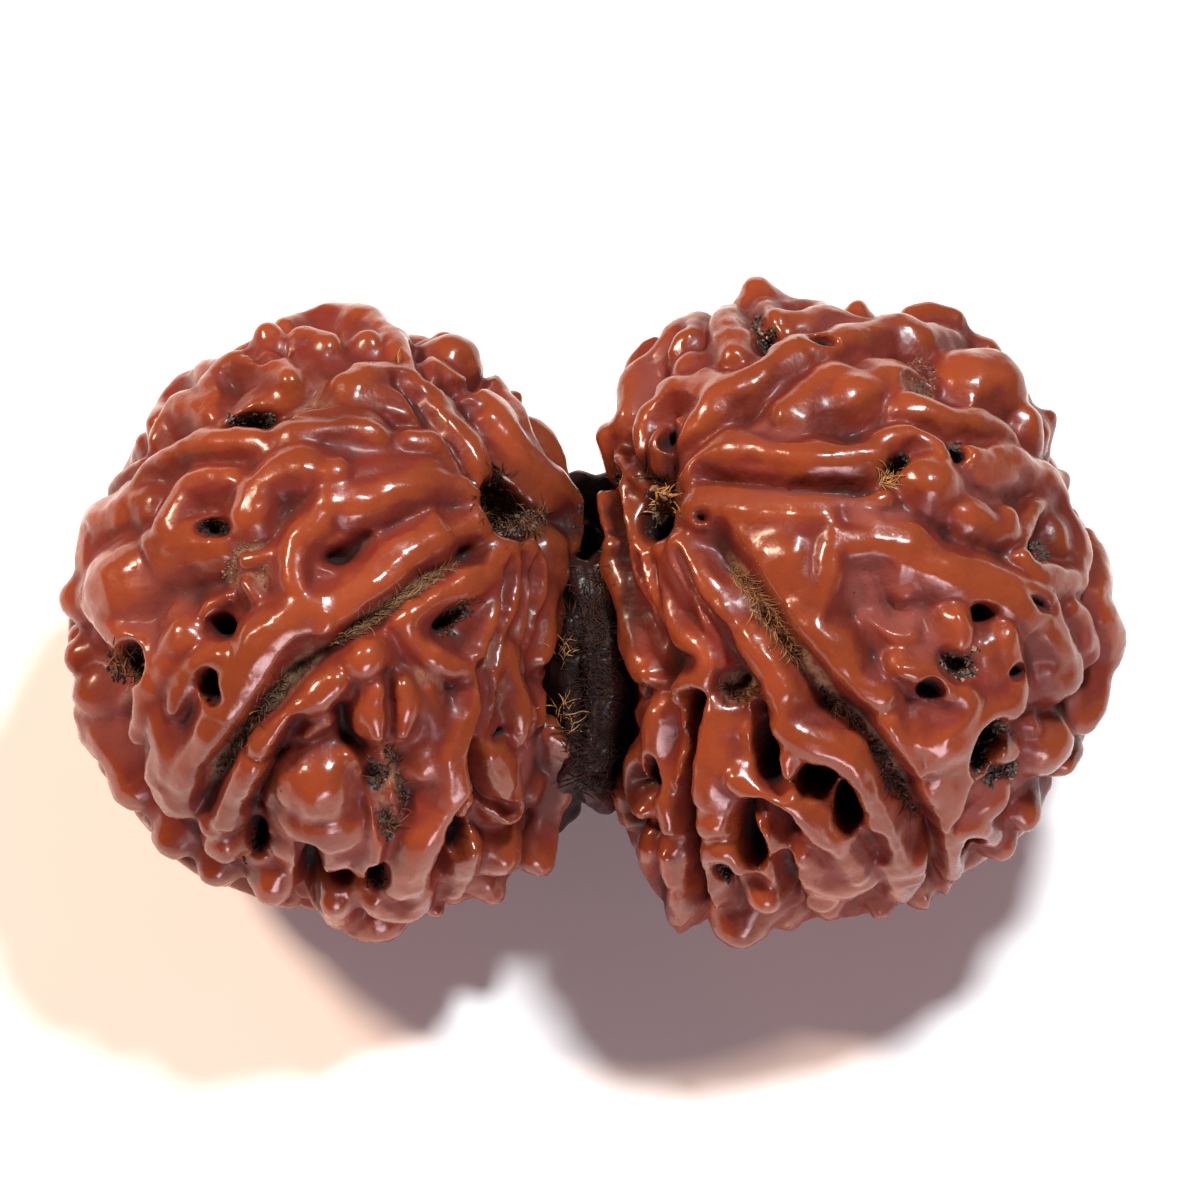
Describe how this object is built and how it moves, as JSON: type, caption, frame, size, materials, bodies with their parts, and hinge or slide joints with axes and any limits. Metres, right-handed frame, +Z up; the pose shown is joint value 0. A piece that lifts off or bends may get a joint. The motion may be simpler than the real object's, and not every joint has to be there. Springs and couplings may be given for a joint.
{
  "type": "gauri shankar rudraksha",
  "caption": "Natural rudraksha: twin fruit stones grown together side by side, with swollen wandering ridges, pits and furrows, lying on flat low spots.",
  "frame": {"origin": "middle of the object's outline on the table it lies on", "axes": "+X along the two joined stones, to the right in the picture, +Y away from the viewer of the picture, +Z up from the table"},
  "size_m": [0.0383, 0.0228, 0.0209],
  "materials": {
    "stone_wood": "oiled, glossy on the ridges and dusty in the valleys"
  },
  "bodies": {
    "root": {"fused_stones": "stone_wood"}
  },
  "joints": []
}
